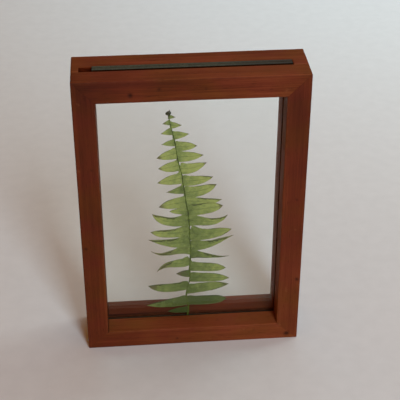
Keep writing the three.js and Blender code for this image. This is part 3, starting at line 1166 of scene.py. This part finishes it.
def stalk_colour(n, along, blotch, brown):
    stalk = n.mix(n.ramp(blotch, 0.4, 0.6), STALK_DARK, STALK_LIGHT)
    stalk = n.mix(n.ramp(along, 0.2, 0.42, 0.8, 0.0), stalk, STALK_FOOT)
    return n.mix(brown, stalk, BUD_BROWN)


def leaf_material():
    n = Material("pressed_leaf")
    along, across, brown = n.attribute("along"), n.attribute("across"), n.attribute("brown")
    away = n.maths("ABSOLUTE", across)
    blotch = n.noise((320, 320, 320), 3)
    fine = n.noise((1500, 1500, 1500), 2)
    slant = n.maths("MULTIPLY", away, VEIN_SLANT)
    side_veins = n.maths("SUBTRACT", n.maths("MULTIPLY", along, SIDE_VEINS), slant)
    vein = n.ramp(n.maths("PINGPONG", side_veins, 0.5), 0.0, 0.16, 1.0, 0.0)
    midrib = n.ramp(away, 0.03, 0.12, 1.0, 0.0)
    green = leaf_green(n, along, blotch, fine)
    green = n.stain(green, vein, 0.2, LEAF_VEIN)
    green = n.stain(green, midrib, 0.4, LEAF_MIDRIB)
    green = leaf_margins(n, green, along, across, away)
    # Painted shadow of the rolled edges
    colour = n.stain(green, n.attribute("edge"), 0.9, ROLL_SHADOW_GREEN)
    colour = n.stain(colour, brown, 0.85, n.mix(n.spread(fine), DRY_DARK, DRY_LIGHT))
    colour = n.mix(n.attribute("stem"), colour, stalk_colour(n, along, blotch, brown))
    relief = n.maths("ADD", n.maths("MULTIPLY", vein, -0.5), n.maths("MULTIPLY", fine, 0.6))
    n.surface({
        "Base Color": colour, "Roughness": 0.62, "Specular IOR Level": 0.15,
        "Normal": n.bump(relief, LEAF_RELIEF, 0.6),
    })
    return n.material


def build_frond():
    surface = Surface()
    leaflets = {}
    for side, rows in (("right", RIGHT_LEAFLETS), ("left", LEFT_LEAFLETS)):
        for number, row in enumerate(rows):
            leaflets[side, number] = Leaflet(len(leaflets), row)
    for leaflet in leaflets.values():
        add_blade(surface, leaflet)
    for side, number, edge, start, end, depth in FOLDS:
        add_fold(surface, leaflets[side, number], edge, start, end, depth)
    add_stem(surface)
    for add_part in (add_knot, add_coil, add_spike):
        add_part(surface, *STEM_LINE[-1])
    frond = surface.build("pressed_frond")
    frond.data.materials.append(leaf_material())
    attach(frond, "root")
    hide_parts("fern_frond")


# -------------------- stage

CAMERA_PLACE = (-44.7 * MM, -619.6 * MM, 512.2 * MM)
CAMERA_AIM = (6.3 * MM, 0.0, 111.5 * MM)
CAMERA_LENS = 96.58
SENSOR_WIDTH = 36

# Lamps: name, place, aim, size, power, colour and the angle that the light spreads over
LAMPS = [
    ("key", (0.31, -1.165, 0.80), (0, 0.1, 0.05), (0.3, 1.2), 14.2, (0.7, 0.87, 1.0), 180),
    ("right_window", (1.0, 0.5, 0.8), (0.3, 0.5, 0), (0.6, 0.6), 1.85, (0.79, 0.95, 0.98), 100),
    ("far_window", (0.3, 0.9, 0.9), (0.2, 0.9, 0), (0.8, 0.8), 3.0, (0.52, 0.84, 1.0), 120),
]
WARM_LIGHT = (1.0, 0.44, 0.12, 1.0)
WARM_STRENGTH = 0.28
WALL_COLOUR = (0.5, 0.49, 0.48, 1.0)

# The floor: half its side, where it starts and ends giving way to the wall, and its two tones
FLOOR_REACH = 3.0
FLOOR_FADE = (0.9, 1.7)
PAPER_DARK = (0.74, 0.72, 0.71, 1)
PAPER_LIGHT = (0.77, 0.75, 0.74, 1)


def add_aimed(obj, place, target):
    obj.location = place
    obj.rotation_euler = (Vector(target) - Vector(place)).to_track_quat("-Z", "Y").to_euler()
    bpy.context.scene.collection.objects.link(obj)


def add_camera():
    camera = bpy.data.objects.new("camera", bpy.data.cameras.new("camera"))
    camera.data.lens = CAMERA_LENS
    camera.data.sensor_width = SENSOR_WIDTH
    add_aimed(camera, CAMERA_PLACE, CAMERA_AIM)
    bpy.context.scene.camera = camera


def add_lamp(name, place, aim, size, power, colour, spread):
    lamp = bpy.data.lights.new(name, "AREA")
    lamp.shape = "RECTANGLE"
    lamp.size, lamp.size_y = size
    lamp.energy = power
    lamp.color = colour
    lamp.spread = math.radians(spread)
    add_aimed(bpy.data.objects.new(name, lamp), place, aim)


def add_world():
    """Warm light from all round, and a plain pale wall where the world is seen, or seen through glass."""
    world = bpy.data.worlds.new("studio")
    world.use_nodes = True
    n = Nodes(world.node_tree)
    warm = n.tree.nodes["Background"]
    n.feed(warm.inputs["Color"], WARM_LIGHT)
    n.feed(warm.inputs["Strength"], WARM_STRENGTH)
    wall = n.add("ShaderNodeBackground", {"Color": WALL_COLOUR}).outputs[0]
    either = n.mix_shaders(n.bounced(), wall, warm.outputs[0])
    n.feed(n.tree.nodes["World Output"].inputs["Surface"], either)
    bpy.context.scene.world = world


def add_floor():
    """Pale paper round the frame, which gives way to the plain wall from a metre off."""
    far = FLOOR_REACH
    corners = [(-far, -far, 0), (far, -far, 0), (far, far, 0), (-far, far, 0)]
    floor = mesh_object("floor", corners, [(0, 1, 2, 3)], smooth=False)
    n = Material("pale_paper")
    grain = n.spread(n.noise((90, 90, 90), 4))
    n.surface({"Base Color": n.mix(grain, PAPER_DARK, PAPER_LIGHT), "Roughness": 0.85})
    away = n.add("ShaderNodeVectorMath", {0: n.position()}, operation="LENGTH").outputs["Value"]
    nothing = n.add("ShaderNodeBsdfTransparent").outputs[0]
    both = n.mix_shaders(n.ramp(away, *FLOOR_FADE), n.shader.outputs[0], nothing)
    n.feed(n.output.inputs["Surface"], both)
    floor.data.materials.append(n.material)


bpy.context.scene.view_settings.view_transform = "Standard"
add_camera()
for lamp_row in LAMPS:
    add_lamp(*lamp_row)
add_world()
add_floor()
build_sticks()
build_panes()
build_frond()
